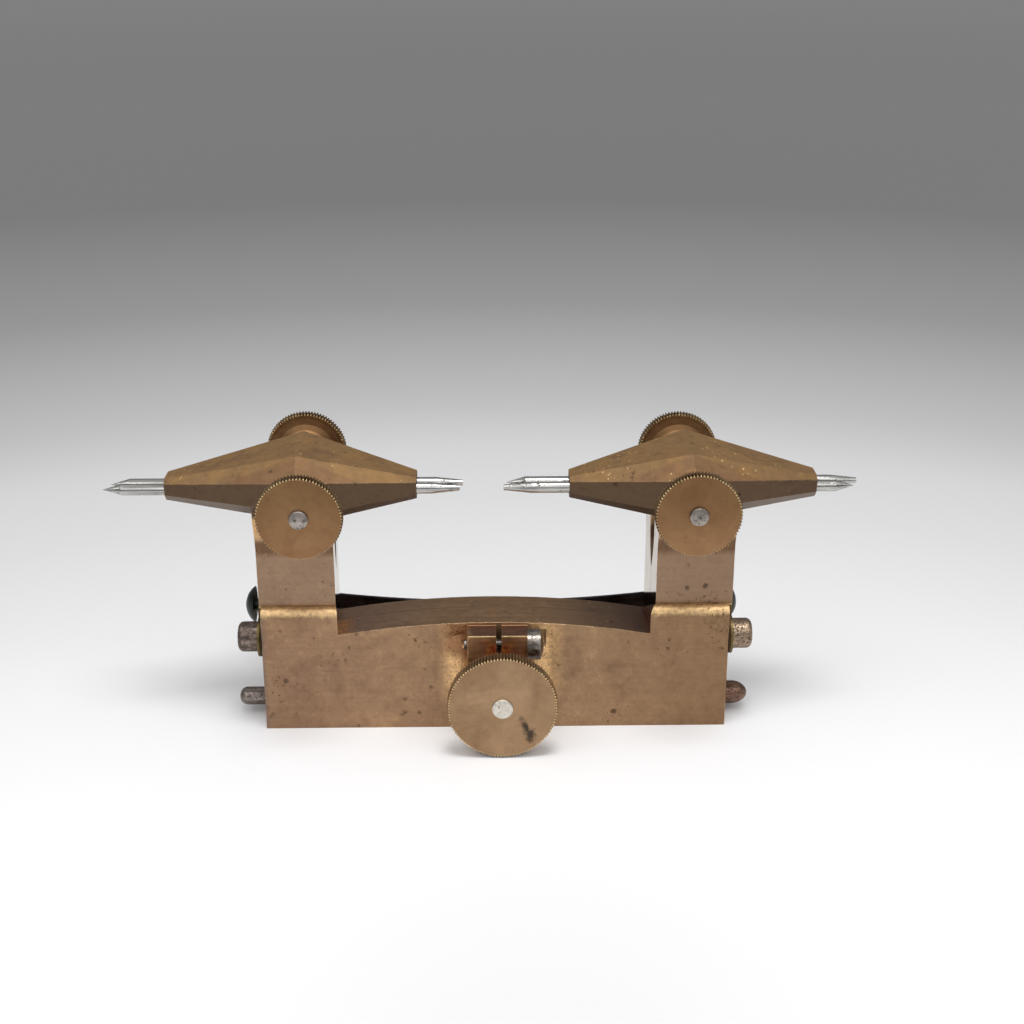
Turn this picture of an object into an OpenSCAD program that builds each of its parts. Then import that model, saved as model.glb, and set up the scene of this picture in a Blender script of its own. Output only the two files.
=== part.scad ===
// Clock depthing tool: two hinged brass frames carry two pairs of steel runners.
// Opening the frames with the adjusting screw sets the distance between the runner axes.
// X runs along the tool, Y from front to back, Z up. Millimetres.
// The origin is the centre of the face that the front frame stands on.

/* [Frames] */
// Length of both frames over their end faces
frame_len = 130; // [128:0.5:134]
// Thickness of the front frame
front_t = 10.5; // [10:0.1:12]
// Thickness of the rear frame
rear_t = 8.1; // [7.8:0.1:9]
// Height of the ledge where the pillars rise from the frame
ledge_z = 36.6; // [36:0.1:38]
// Top of the front frame's arched saddle at mid length
saddle_top_z = 32.6; // [31.5:0.05:33]
// Height of the front frame's saddle where it meets the pillars
saddle_end_z = 28.8; // [28:0.1:29.5]
// How much lower the rear frame's saddle lies
rear_saddle_drop = 0.4; // [0:0.05:0.5]
// Air between the closed frames
parting_gap = 0.1; // [0.06:0.02:0.2]

/* [Pillars] */
// Inner side face of the right pillars at the parting plane
pillar_right_x = 43.8; // [43.4:0.05:44.4]
// Inner side face of the left pillars at the parting plane
pillar_left_x = 44.45; // [43.9:0.05:44.6]
// Outer side face of the right front pillar, from mid length
pillar_outer_right = 65.95; // [65.2:0.05:66]
// Outer side face of the left front pillar, from mid length
pillar_outer_left = 65.6; // [65.2:0.05:66]
// Step from the front face back to the pillar face
pillar_step = 3; // [2:0.1:3.5]
// Height where the pillar face starts to curve out under the head
cove_z = 51.5; // [50:0.5:53]
// Radius of that curve
cove_r = 22; // [20:0.5:24]

/* [Runner heads] */
// Height of the runner axes
runner_z = 69.35; // [69:0.05:70]
// Where the heads are highest, from mid length
head_peak_x = 52.8; // [52:0.1:54]
// Outer end of the left head
head_outer_left = 89.8; // [88:0.1:91]
// Outer end of the right head
head_outer_right = 88; // [87:0.1:90]
// Inner end of the left head
head_inner_left = 21.4; // [20:0.1:23]
// Inner end of the right head
head_inner_right = 20.4; // [20:0.1:23]

/* [Runners] */
// Radius of the steel runners
runner_r = 1.6; // [1.5:0.05:1.65]
// Distance from the parting plane to a runner axis
runner_off = 2.06; // [2.03:0.01:2.1]
// Radial running clearance of every shaft and screw
run_gap = 0.05; // [0.03:0.01:0.08]

/* [Clamp screws] */
// Radius of the runner clamp knobs over the knurl
clamp_knob_r = 11.4; // [11:0.1:11.6]
// Teeth of the knurl on a clamp knob
clamp_teeth = 80; // [60:2:84]
// Distance from the parting plane to a clamp knob's outer face
clamp_face_y = 27.95; // [27.5:0.05:29]
// Height of the left front clamp screw's axis
clamp_z = 70.4; // [70.2:0.1:70.6]

/* [Adjusting screw] */
// Radius of the adjusting knob over the knurl
adjust_knob_r = 15.04; // [14.4:0.02:15.1]
// Teeth of the knurl on the adjusting knob
adjust_teeth = 106; // [80:2:110]
// Height of the adjusting screw axis
adjust_z = 15.3; // [15.2:0.02:15.6]
// Distance from the parting plane to the adjusting knob's outer face
adjust_face_y = 28.4; // [27.6:0.1:29]

/* [Hinge] */
// Height of the hinge axis, which lies in the parting plane
hinge_z = 5; // [4.9:0.1:5.2]
// Radius of the hinge pin
hinge_r = 2.6; // [2.3:0.1:2.7]
// Angle that the rear frame can lie back
open_angle = 25; // [20:1:25]

/* [Hidden] */

$fn = 96;
eps = 0.01;
long = 400;
half_len = frame_len / 2;
half_gap = parting_gap / 2;
parting_y = front_t / 2;
brass = [0.55, 0.42, 0.27];
bright_brass = [0.62, 0.49, 0.31];
steel = [0.72, 0.72, 0.70];
rusty_steel = [0.42, 0.36, 0.32];
blue_steel = [0.10, 0.11, 0.14];

// Inner side faces of the right and left pillars, as their place at the parting plane and
// their slant per millimetre towards the back
inner_right = [pillar_right_x, -0.109];
inner_left = [pillar_left_x, 0.019];
pillar_inner_x = 44.2;
pillar_outer_x = 65.5;

// Saddle arch through its middle and end heights
saddle_x = -1;
saddle_rise = saddle_top_z - saddle_end_z;
saddle_r = (pow(pillar_inner_x, 2) + pow(saddle_rise, 2)) / (2 * saddle_rise);

// Inner ends of the ledge at the front face. From there the ledge runs out to the pillars.
ledge_right_x = 43;
ledge_left_x = 43.8;
ledge_round = pillar_step - 0.05;

// Relief between the meeting faces of the pillars
relief_low_z = 44.5;
relief_mid_z = 57;
relief_high_z = 64.3;
relief_depth = 2.6;
relief_r = (pow(relief_mid_z - relief_low_z, 2) + pow(relief_depth, 2)) / (2 * relief_depth);
cove_face_y = 10.4;
cove_top_z = 66;

// Section of a head half at its peak and at its ends, from the runner axis.
// The ridge height at the ends keeps the upper facets flat.
peak_top = [10.8, 12.35];
peak_ridge = [18, 7.2];
end_top = [2.9, 3.45];
end_side = 4.4;
end_ridge = [end_side,
  end_top[1] - (end_side - end_top[0]) * (peak_top[1] - peak_ridge[1]) / (peak_ridge[0] - peak_top[0])];
end_lower = [4.1, -1.0];
end_bottom = [2.2, -2.95];
outer_lower_z = -1.1;
outer_bottom_z = -4.4;
inner_lower_z = -2.6;
inner_bottom_z = -5.4;
lower_slope = (end_side - end_lower[0]) / (end_ridge[1] - end_lower[1]);
bottom_slope = (end_lower[0] - end_bottom[0]) / (end_lower[1] - end_bottom[1]);

// Boss with its split and scooped sides
boss_x = 0.45;
boss_half = 8.2;
boss_depth = 7;
boss_top_z = 31.7;
boss_low_z = 5;
scoop_r = 7;
scoop_top_z = 31.2;
scoop_slope = 30;
slot_x = 0.85;
slot_w = 1.5;
slot_low_z = 8;
boss_screw_z = 27.7;
boss_screw_y = 3.7;
boss_screw_r = 1.5;
boss_head_r = 4.3;
boss_head_len = 4.7;
boss_seat_r = 4.6;

// Adjusting screw
adjust_x = 1.7;
adjust_r = 2.85;
adjust_proud = 0.8;
adjust_knob_t = 4;
adjust_hub_r = 5;
adjust_hub_len = 0.9;
adjust_tip_y = 1.7;
tip_r = 2.4;
tip_dome_r = 3;
tip_stem_r = 1.2;
tip_stem_len = 3;
button_r = 3.2;
button_t = 2;

// Hinge knuckles, from the left end to the right end: front, rear, front, rear, front
knuckle_r = hinge_z;
knuckle_air = 0.25;
knuckle_x = [-65, -43, -16, 16, 43, 65];
pin_left_x = 73.6;
pin_head_r = 3.32;
pin_head_x = 72.7;
pin_dome_len = 4.6;
pin_tip_r = 2.1;

// Runner clamp screws, left front, right front, left rear, right rear
clamp_x = [-50.85, 52.75, -54.1, 53.15];
clamp_axis_z = [clamp_z, clamp_z + 0.2, clamp_z + 0.4, clamp_z - 0.2];
clamp_r = 2.5;
clamp_proud = 0.9;
clamp_knob_t = 3.4;
clamp_hub_r = 10;
clamp_neck_r = 4.6;
clamp_hub_steps = 5;
clamp_hub_len = 4.6;
clamp_pad_r = 2.3;
clamp_pad_t = 2;
clamp_pad_gap = 0.06;
clamp_stem_r = 1;
clamp_stem_len = 2.2;

// Runners, as [left end, right end, true when the left end is the point]
runner_ends = [[-107, -9.6, true], [2.4, 98.7, false], [-105.6, -8.8, true], [3.1, 100, true]];
point_len = 5.3;
hollow_len = 7.5;
hollow_r = 0.78;
hollow_bore_r = 0.5;
hollow_bore_len = 1.6;

// Stays on the end faces, and the arc slot in which the rear frame's lock screws run
stay_t = 1.2;
stay_air = 0.1;
stay_x = half_len + stay_air;
cap_y = -5.5;
cap_z = 26.5;
stay_end_r = 5.6;
lock_y = 4.5;
lock_z = 31.9;
lock_r = 1.7;
lock_air = 0.25;
lock_radius = sqrt(pow(lock_y, 2) + pow(lock_z - hinge_z, 2));
lock_angle = atan2(lock_y, lock_z - hinge_z);
stay_outer_r = 30.4;
stay_inner_r = 21.6;
cap_head_r = 4.25;
cap_head_len = 5.7;
cap_r = 2.5;
lock_head_r = 5.2;
lock_head_t = 2.6;

// Bow spring: a leaf whose middle bears on the rear frame, with its ends in the stays
leaf_t = 0.8;
leaf_low_z = 20.2;
leaf_high_z = 30.3;
leaf_mid_y = 9.35;
leaf_curve = 0.00284;
leaf_shoulder_x = half_len - 0.4;
leaf_tab_x = 68;
leaf_tab_low_z = 22;
leaf_tab_high_z = 28.8;
leaf_steps = 40;
lug_front_y = 17;
lug_back_y = 25.2;
lug_low_z = 17.5;
lug_high_z = 32.6;
lug_round = 2;
lug_slot_air = 0.35;
spring_button_z = 28;
spring_button_r = 2.6;

// Moves children from the parting plane, which holds the hinge axis, to the part's frame
module from_parting() {
  translate([0, parting_y, 0]) children();
}

// Extrudes a profile drawn in X and Z from y0 to y1
module slab_y(y0, y1) {
  translate([0, y1, 0]) rotate([90, 0, 0]) linear_extrude(y1 - y0) children();
}

// Extrudes a profile drawn in Y and Z from x0 to x1
module slab_x(x0, x1) {
  translate([x0, 0, 0]) rotate([90, 0, 90]) linear_extrude(x1 - x0) children();
}

module rod_y(x, z, r, y0, y1) {
  translate([x, y1, z]) rotate([90, 0, 0]) cylinder(r = r, h = y1 - y0);
}

module rod_x(y, z, r, x0, x1) {
  translate([x0, y, z]) rotate([0, 90, 0]) cylinder(r = r, h = x1 - x0);
}

module block(x0, x1, y0, y1, z0, z1) {
  translate([x0, y0, z0]) cube([x1 - x0, y1 - y0, z1 - z0]);
}

// Place of a pillar's inner side face at a depth y behind the parting plane
function inner_x(side, y) = side[0] + side[1] * y;

// Long base bar of a frame, cut down between the pillars to its arched saddle.
// opening is the plan outline of that cut and drop lowers the saddle.
module base_bar(y0, y1, opening, drop) {
  difference() {
    block(-half_len, half_len, y0, y1, 0, ledge_z);
    difference() {
      translate([0, 0, saddle_end_z - 2]) linear_extrude(ledge_z) polygon(opening);
      rod_y(saddle_x, saddle_top_z - drop - saddle_r, saddle_r, y0 - 2, y1 + 2, $fn = 360);
    }
  }
}

// The cut in the front frame's base bar, narrower in front of the pillars
function front_opening(y0, y1) = [[-ledge_left_x, y0 - 1], [ledge_right_x, y0 - 1], [ledge_right_x, y0],
  [inner_x(inner_right, y0 + pillar_step), y0 + pillar_step], [inner_x(inner_right, y1), y1],
  [-inner_x(inner_left, y1), y1], [-inner_x(inner_left, y0 + pillar_step), y0 + pillar_step],
  [-ledge_left_x, y0]];

function rear_opening(y0, y1) = [[-inner_x(inner_left, y0), y0], [inner_x(inner_right, y0), y0],
  [inner_x(inner_right, y1), y1], [-inner_x(inner_left, y1), y1]];

function mix(a, b, t) = a + (b - a) * t;

// Section points of a head half at a place between its end (0) and its peak (1)
function ridge_at(t) = [mix(end_ridge[0], peak_ridge[0], t), mix(end_ridge[1], peak_ridge[1], t)];
function lower_at(t, z) = [ridge_at(t)[0] - lower_slope * (ridge_at(t)[1] - z), z];
function bottom_at(t, zl, z) = [lower_at(t, zl)[0] - bottom_slope * (zl - z), z];

// Thin upright slice of a head section, from the parting plane forwards
module head_slice(x, points) {
  outline = concat(points, [[0, points[len(points) - 1][1]], [0, points[0][1]]]);
  slab_x(x, x + eps) translate([0, runner_z]) mirror([1, 0]) polygon(outline);
}

// Faceted half of a runner head, on the front side of the parting plane.
// outer and inner are its ends, measured from mid length on the positive side.
module head_half(outer, inner) {
  t_out = (outer - pillar_outer_x) / (outer - head_peak_x);
  t_in = (pillar_inner_x - inner) / (head_peak_x - inner);
  end_points = [end_top, end_ridge, end_lower, end_bottom];
  lower_out = lower_at(t_out, outer_lower_z);
  lower_in = lower_at(t_in, inner_lower_z);
  hull() {
    head_slice(outer - eps, end_points);
    head_slice(pillar_outer_x, [ridge_at(t_out), lower_out, bottom_at(t_out, outer_lower_z, outer_bottom_z)]);
    head_slice(head_peak_x, [peak_top, peak_ridge]);
    head_slice(pillar_inner_x, [ridge_at(t_in), lower_in, bottom_at(t_in, inner_lower_z, inner_bottom_z)]);
    head_slice(inner, end_points);
  }
}

// Pillar between the base bar and a head, with the curve that carries the head forwards.
// x1 is its outer side face. back is 1 on the front frame and -1 on the rear frame, whose
// uprights are mirrored and stay within the end faces, so that they pass between the stays.
module pillar(face_y, side, back, x1) {
  x0 = pillar_inner_x - 3;
  low_z = ledge_z - 0.5;
  far = cove_face_y + 1;
  intersection() {
    union() {
      block(x0, x1, -face_y, 0, low_z, cove_top_z);
      difference() {
        block(x0, x1, -cove_face_y, 0, cove_z, cove_top_z);
        rod_x(-face_y - cove_r, cove_z, cove_r, x0 - 1, x1 + 1);
      }
    }
    linear_extrude(long / 4) polygon([[inner_x(side, back), 1], [inner_x(side, -back * far), -far],
      [x1, -far], [x1, 1]]);
  }
}

// Runner bore, clamp screw bore and pillar relief of one head half
module head_cuts(screw_x, screw_z) {
  rod_x(-runner_off, runner_z, runner_r + run_gap, 0, long / 2);
  rod_y(screw_x, screw_z, clamp_r + run_gap, -30, -runner_off);
  intersection() {
    rod_x(relief_r - relief_depth, relief_mid_z, relief_r, pillar_inner_x - 3, pillar_outer_x + 1, $fn = 360);
    block(0, long / 2, -long / 4, long / 4, 0, relief_high_z);
  }
}

// One upright, on the front side and the positive end: pillar and head half
module upright(face_y, side, back, pillar_x, outer, inner, screw_x, screw_z) {
  difference() {
    union() {
      pillar(face_y, side, back, pillar_x);
      head_half(outer, inner);
    }
    head_cuts(screw_x, screw_z);
    block(0, long, -half_gap, long, ledge_z - 5, long);
  }
}

// Hinge knuckle barrels of the sections that start at index first
module knuckles(first, r, air) {
  for (i = [first : 2 : len(knuckle_x) - 2])
    rod_x(0, hinge_z, r, knuckle_x[i] + air, knuckle_x[i + 1] - air);
}

// Boss with scooped sides, in front of the base bar. The scoops slope down beside its top.
module boss() {
  face_y = -front_t;
  difference() {
    block(boss_x - boss_half - scoop_r, boss_x + boss_half + scoop_r, face_y - boss_depth,
      face_y + 1, boss_low_z, boss_top_z);
    for (side = [-1, 1]) translate([boss_x + side * boss_half, 0, 0]) {
      translate([side * scoop_r, face_y - scoop_r, 0]) cylinder(r = scoop_r, h = long / 4);
      mirror([side > 0 ? 0 : 1, 0, 0]) translate([0, 0, scoop_top_z]) rotate([0, scoop_slope, 0])
        block(0, 4 * scoop_r, -long / 8, long / 8, 0, 4 * scoop_r);
    }
  }
}

// Split, clamp screw bore, seat and adjusting screw bore of the boss
module boss_cuts() {
  screw_y = -front_t - boss_screw_y;
  head_x = boss_x + boss_half;
  block(slot_x - slot_w / 2, slot_x + slot_w / 2, -front_t - boss_depth - 1, -front_t, slot_low_z,
    boss_top_z + 5);
  rod_x(screw_y, boss_screw_z, boss_screw_r, -long / 8, long / 8);
  rod_x(screw_y, boss_screw_z, boss_seat_r, head_x, head_x + boss_head_len + 0.6);
  rod_y(adjust_x, adjust_z, adjust_r + run_gap, -40, 1);
}

// Cutter that leaves the top front edge of the ledge rounded
module ledge_edge_cut() {
  difference() {
    block(-half_len - 1, half_len + 1, -front_t - 1, -front_t + ledge_round, ledge_z - ledge_round,
      ledge_z + 1);
    rod_x(-front_t + ledge_round, ledge_z - ledge_round, ledge_round, -half_len - 2, half_len + 2);
  }
}

// Tapped and plain holes in the end faces for the stay screws
module end_hole(y, z, r, depth) {
  for (side = [-1, 1])
    rod_x(y, z, r, side > 0 ? half_len - depth : -half_len - 1, side > 0 ? half_len + 1 : -half_len + depth);
}

module front_frame() {
  pillar_y = front_t - pillar_step;
  from_parting() color(brass) difference() {
    union() {
      difference() {
        base_bar(-front_t, -half_gap, front_opening(-front_t, 1), 0);
        ledge_edge_cut();
      }
      boss();
      knuckles(0, knuckle_r, 0);
      upright(pillar_y, inner_right, 1, pillar_outer_right, head_outer_right, head_inner_right,
        clamp_x[1], clamp_axis_z[1]);
      mirror([1, 0, 0]) upright(pillar_y, inner_left, 1, pillar_outer_left, head_outer_left,
        head_inner_left, -clamp_x[0], clamp_axis_z[0]);
    }
    knuckles(1, knuckle_r + knuckle_air, -knuckle_air);
    rod_x(0, hinge_z, hinge_r, -long / 2, long / 2);
    end_hole(cap_y, cap_z, cap_r, 10);
    boss_cuts();
  }
}

// Bevel below the rear frame, so that it can lie back on the hinge
module underside_bevel() {
  angle = open_angle + 1;
  rotate([angle, 0, 0]) block(-long / 2, long / 2, 0, 30, -30, 0);
}

module rear_frame() {
  from_parting() color(brass) difference() {
    union() {
      difference() {
        base_bar(half_gap, rear_t, rear_opening(-1, rear_t + 1), rear_saddle_drop);
        underside_bevel();
      }
      knuckles(1, knuckle_r, 0);
      mirror([0, 1, 0]) {
        upright(rear_t, inner_right, -1, half_len, head_outer_right, head_inner_right, clamp_x[3],
          clamp_axis_z[3]);
        mirror([1, 0, 0]) upright(rear_t, inner_left, -1, half_len, head_outer_left, head_inner_left,
          -clamp_x[2], clamp_axis_z[2]);
      }
    }
    knuckles(0, knuckle_r + knuckle_air, -knuckle_air);
    rod_x(0, hinge_z, hinge_r + run_gap, -long / 2, long / 2);
    end_hole(lock_y, lock_z, lock_r, 9);
    rod_y(adjust_x, adjust_z, button_r, 0, button_t + half_gap);
    rod_y(0, spring_button_z, spring_button_r / 2, 3, rear_t + 1);
  }
}

// Hinge pin: rounded plain end on the left, long domed head on the right
module hinge_pin() {
  tip = pin_tip_r;
  from_parting() color(rusty_steel) translate([0, 0, hinge_z]) rotate([0, 90, 0]) rotate_extrude()
    polygon(concat(
      [[0, -pin_left_x]],
      [for (a = [0 : 15 : 90]) [hinge_r - tip + tip * sin(a), -pin_left_x + tip - tip * cos(a)]],
      [[hinge_r, half_len + 0.1], [pin_head_r, half_len + 0.1]],
      [for (a = [0 : 10 : 90])
        [pin_head_r * cos(a), pin_head_x - pin_dome_len + pin_dome_len * sin(a)]]));
}

// Disc with a V-cut knurl and chamfered rims, its inner face at z = 0
module knurled_disc(r, t, teeth) {
  depth = 0.7;
  chamfer = 0.2;
  step = 360 / teeth;
  intersection() {
    linear_extrude(t) polygon([for (i = [0 : teeth - 1]) for (k = [0, 1])
      (r - k * depth) * [cos((i + k / 2) * step), sin((i + k / 2) * step)]]);
    rotate_extrude() polygon([[0, 0], [r - chamfer, 0], [r, chamfer], [r, t - chamfer],
      [r - chamfer, t], [0, t]]);
  }
}

// Turns a piece that is built along Z so that Z points to the front
module face_front(x, y, z) {
  translate([x, y, z]) rotate([90, 0, 0]) children();
}

module adjusting_knob() {
  face = adjust_face_y - adjust_knob_t;
  from_parting() color(brass) face_front(adjust_x, -face, adjust_z) difference() {
    union() {
      knurled_disc(adjust_knob_r, adjust_knob_t, adjust_teeth);
      translate([0, 0, -adjust_hub_len]) cylinder(r = adjust_hub_r, h = adjust_hub_len + 1);
    }
    translate([0, 0, -5]) cylinder(r = adjust_r, h = 20);
  }
}

// Screw with a riveted, slightly domed outer end; z = 0 is its inner end
module riveted_screw(r, length, bore_r, bore_len) {
  edge = 0.5;
  difference() {
    rotate_extrude() polygon([[0, 0], [r - edge, 0], [r, edge], [r, length - 0.4],
      [r - 0.25, length - 0.15], [r - 0.9, length], [0, length]]);
    translate([0, 0, -1]) cylinder(r = bore_r, h = bore_len + 1);
  }
}

module adjusting_screw() {
  length = adjust_face_y + adjust_proud - adjust_tip_y;
  from_parting() color(steel) face_front(adjust_x, -adjust_tip_y, adjust_z)
    riveted_screw(adjust_r, length, tip_stem_r + run_gap, tip_stem_len + 0.2);
}

// Swivelling tip, which stays still while the screw turns and bears on the thrust button
module adjusting_tip() {
  back = adjust_tip_y - 0.05;
  front = half_gap;
  edge_drop = tip_dome_r - sqrt(pow(tip_dome_r, 2) - pow(tip_r, 2));
  a_end = asin(tip_r / tip_dome_r);
  from_parting() color(steel) face_front(adjust_x, 0, adjust_z) rotate_extrude() polygon(concat(
    [[0, back + tip_stem_len], [tip_stem_r, back + tip_stem_len], [tip_stem_r, back], [tip_r, back]],
    [for (i = [6 : -1 : 0]) let (a = a_end * i / 6)
      [tip_dome_r * sin(a), front + tip_dome_r * (1 - cos(a))]]));
}

module thrust_button() {
  from_parting() color(steel) rod_y(adjust_x, adjust_z, button_r, half_gap, button_t + half_gap);
}

// Screw that closes the split boss on the adjusting screw's thread
module boss_clamp_screw() {
  head_x = boss_x + boss_half;
  tip_x = boss_x - boss_half - 0.9;
  dome_r = 9;
  slot = 1.1;
  from_parting() color(steel) translate([head_x, -front_t - boss_screw_y, boss_screw_z]) difference() {
    intersection() {
      rotate([0, 90, 0]) union() {
        cylinder(r = boss_head_r, h = boss_head_len);
        translate([0, 0, tip_x - head_x]) cylinder(r = boss_screw_r, h = head_x - tip_x + 1);
      }
      translate([boss_head_len - dome_r, 0, 0]) union() {
        sphere(r = dome_r);
        rotate([0, -90, 0]) cylinder(r = dome_r, h = long / 4);
      }
    }
    rotate([-25, 0, 0]) block(boss_head_len - 1.6, boss_head_len + 1, -slot / 2, slot / 2, -10, 10);
  }
}

// Angle from upright, leaning back, as a point of the stay's profile in Y and Z
function lean(r, a) = [r * sin(a), hinge_z + r * cos(a)];

// Flat profile of a stay, in Y and Z
module stay_profile() {
  reach = 60;
  front_angle = -10;
  back_angle = 45;
  difference() {
    union() {
      translate([cap_y, cap_z]) circle(r = stay_end_r);
      intersection() {
        difference() {
          translate([0, hinge_z]) circle(r = stay_outer_r);
          translate([0, hinge_z]) circle(r = stay_inner_r);
        }
        polygon([lean(0, 0), lean(reach, front_angle), lean(reach, 18), lean(reach, back_angle)]);
      }
      translate([lug_front_y, lug_low_z]) square([lug_back_y - lug_front_y, lug_high_z - lug_low_z]);
    }
    translate([cap_y, cap_z]) circle(r = cap_r + run_gap);
    lock_slot(lock_r + lock_air);
    leaf_slot();
    lug_corners();
  }
}

// Arc slot around the hinge axis for a lock screw
module lock_slot(w) {
  a0 = lock_angle - 0.5;
  a1 = lock_angle + open_angle + 1;
  for (a = [a0, a1]) translate(lean(lock_radius, a)) circle(r = w);
  intersection() {
    difference() {
      translate([0, hinge_z]) circle(r = lock_radius + w);
      translate([0, hinge_z]) circle(r = lock_radius - w);
    }
    polygon([lean(0, 0), lean(60, a0), lean(60, a1)]);
  }
}

// Slot in a stay for the end tab of the bow spring
module leaf_slot() {
  y = leaf_y(stay_x + stay_t / 2);
  translate([y - leaf_t / 2 - lug_slot_air, leaf_tab_low_z - lug_slot_air])
    square([leaf_t + 2 * lug_slot_air, leaf_tab_high_z - leaf_tab_low_z + 2 * lug_slot_air]);
}

// Rounds the back corners of the lug
module lug_corners() {
  for (up = [0, 1]) let (z = up == 1 ? lug_high_z - lug_round : lug_low_z + lug_round) difference() {
    translate([lug_back_y - lug_round, up == 1 ? z : lug_low_z - 1]) square([lug_round + 1, lug_round + 1]);
    translate([lug_back_y - lug_round, z]) circle(r = lug_round);
  }
}

module stay() {
  slab_x(stay_x, stay_x + stay_t) stay_profile();
}

module right_stay() {
  from_parting() color(bright_brass) stay();
}

module left_stay() {
  from_parting() color(bright_brass) mirror([1, 0, 0]) stay();
}

// Socket head cap screws that hold the stays to the front frame
module stay_cap_screws() {
  seat = stay_x + stay_t;
  round = 1.5;
  socket_r = 2.3;
  from_parting() color(rusty_steel) for (side = [0, 1]) mirror([side, 0, 0])
    translate([seat, cap_y, cap_z]) rotate([0, 90, 0]) difference() {
      union() {
        rotate_extrude() polygon(concat([[0, 0], [cap_head_r, 0]],
          [for (a = [0 : 15 : 90])
            [cap_head_r - round + round * cos(a), cap_head_len - round + round * sin(a)]],
          [[0, cap_head_len]]));
        translate([0, 0, -9]) cylinder(r = cap_r, h = 10);
      }
      translate([0, 0, cap_head_len - 2.6]) cylinder(r = socket_r, h = 5, $fn = 6);
    }
}

// Mushroom head lock screws of the rear frame, the left one backed off as in use
module stay_lock_screws() {
  seat = stay_x + stay_t + 0.1;
  backed_off = [0, 2];
  shank = 9;
  dome_r = (pow(lock_head_r, 2) + pow(lock_head_t, 2)) / (2 * lock_head_t);
  from_parting() color(blue_steel) for (side = [0, 1]) mirror([side, 0, 0])
    translate([seat + backed_off[side], lock_y, lock_z]) rotate([0, 90, 0]) difference() {
      union() {
        intersection() {
          translate([0, 0, lock_head_t - dome_r]) sphere(r = dome_r);
          cylinder(r = lock_head_r + 1, h = lock_head_t + 1);
        }
        translate([0, 0, -shank]) cylinder(r = lock_r, h = shank + 0.5);
      }
      translate([-lock_head_r - 1, -0.6, lock_head_t - 1.1]) cube([2 * lock_head_r + 2, 1.2, 3]);
    }
}

// Middle line of the bow spring, from the parting plane
function leaf_y(x) = leaf_mid_y + leaf_curve * x * x;

// Plan outline of the bow spring between -x and x
module leaf_plan(x) {
  xs = [for (i = [0 : leaf_steps]) -x + 2 * x * i / leaf_steps];
  polygon(concat([for (v = xs) [v, leaf_y(v) - leaf_t / 2]],
    [for (i = [leaf_steps : -1 : 0]) [xs[i], leaf_y(xs[i]) + leaf_t / 2]]));
}

module bow_spring() {
  from_parting() color(blue_steel) {
    translate([0, 0, leaf_low_z]) linear_extrude(leaf_high_z - leaf_low_z) leaf_plan(leaf_shoulder_x);
    translate([0, 0, leaf_tab_low_z]) linear_extrude(leaf_tab_high_z - leaf_tab_low_z) leaf_plan(leaf_tab_x);
  }
}

// Domed button in the back of the rear frame, on which the bow spring presses
module spring_button() {
  height = leaf_mid_y - leaf_t / 2 - 0.05 - rear_t;
  dome_r = (pow(spring_button_r, 2) + pow(height, 2)) / (2 * height);
  from_parting() color(steel) translate([0, rear_t, spring_button_z]) rotate([-90, 0, 0]) {
    intersection() {
      translate([0, 0, height - dome_r]) sphere(r = dome_r);
      cylinder(r = spring_button_r + 1, h = height + 1);
    }
    translate([0, 0, 3 - rear_t]) cylinder(r = spring_button_r / 2, h = rear_t - 3 + height / 2);
  }
}

// Runner along X from x0 to x1: a point at one end and a hollow centre at the other
module runner(index) {
  ends = runner_ends[index];
  length = ends[1] - ends[0];
  y = index < 2 ? -runner_off : runner_off;
  flip = ends[2] ? 0 : 1;
  from_parting() color(steel) translate([flip == 1 ? ends[1] : ends[0], y, runner_z]) mirror([flip, 0, 0])
    rotate([0, 90, 0]) rotate_extrude() polygon([[0, 0], [runner_r, point_len],
      [runner_r, length - hollow_len], [hollow_r, length], [hollow_bore_r, length],
      [0, length - hollow_bore_len]]);
}

module front_left_runner() { runner(0); }
module front_right_runner() { runner(1); }
module rear_left_runner() { runner(2); }
module rear_right_runner() { runner(3); }

// Places a piece, built along Z with z = 0 at the parting plane, on a clamp screw's axis
module on_clamp_axis(index) {
  from_parting() mirror([0, index < 2 ? 0 : 1, 0])
    face_front(clamp_x[index], 0, clamp_axis_z[index]) children();
}

clamp_pad_z = runner_off + runner_r + clamp_pad_gap;
clamp_screw_z = clamp_pad_z + clamp_pad_t + 0.05;

module clamp_screw(index) {
  on_clamp_axis(index) color(steel) translate([0, 0, clamp_screw_z])
    riveted_screw(clamp_r, clamp_face_y + clamp_proud - clamp_screw_z, clamp_stem_r + run_gap,
      clamp_stem_len + 0.2);
}

// Hub that flares from the neck out to the inner face of a clamp knob
module flared_hub() {
  flare = clamp_hub_r - clamp_neck_r;
  rotate_extrude() polygon(concat([[0, 1], [0, -clamp_hub_len]],
    [for (i = [0 : clamp_hub_steps]) let (a = 90 * i / clamp_hub_steps)
      [clamp_hub_r - flare * cos(a), clamp_hub_len * (sin(a) - 1)]], [[clamp_hub_r, 1]]));
}

module clamp_knob(index) {
  face = clamp_face_y - clamp_knob_t;
  on_clamp_axis(index) color(brass) translate([0, 0, face]) difference() {
    union() {
      knurled_disc(clamp_knob_r, clamp_knob_t, clamp_teeth);
      flared_hub();
    }
    translate([0, 0, -clamp_hub_len - 1]) cylinder(r = clamp_r, h = 20);
  }
}

// Brass pad that stays still while its screw turns and grips the runner
module clamp_pad(index) {
  on_clamp_axis(index) color(bright_brass) translate([0, 0, clamp_pad_z]) {
    cylinder(r = clamp_pad_r, h = clamp_pad_t);
    cylinder(r = clamp_stem_r, h = clamp_pad_t + clamp_stem_len);
  }
}

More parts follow.
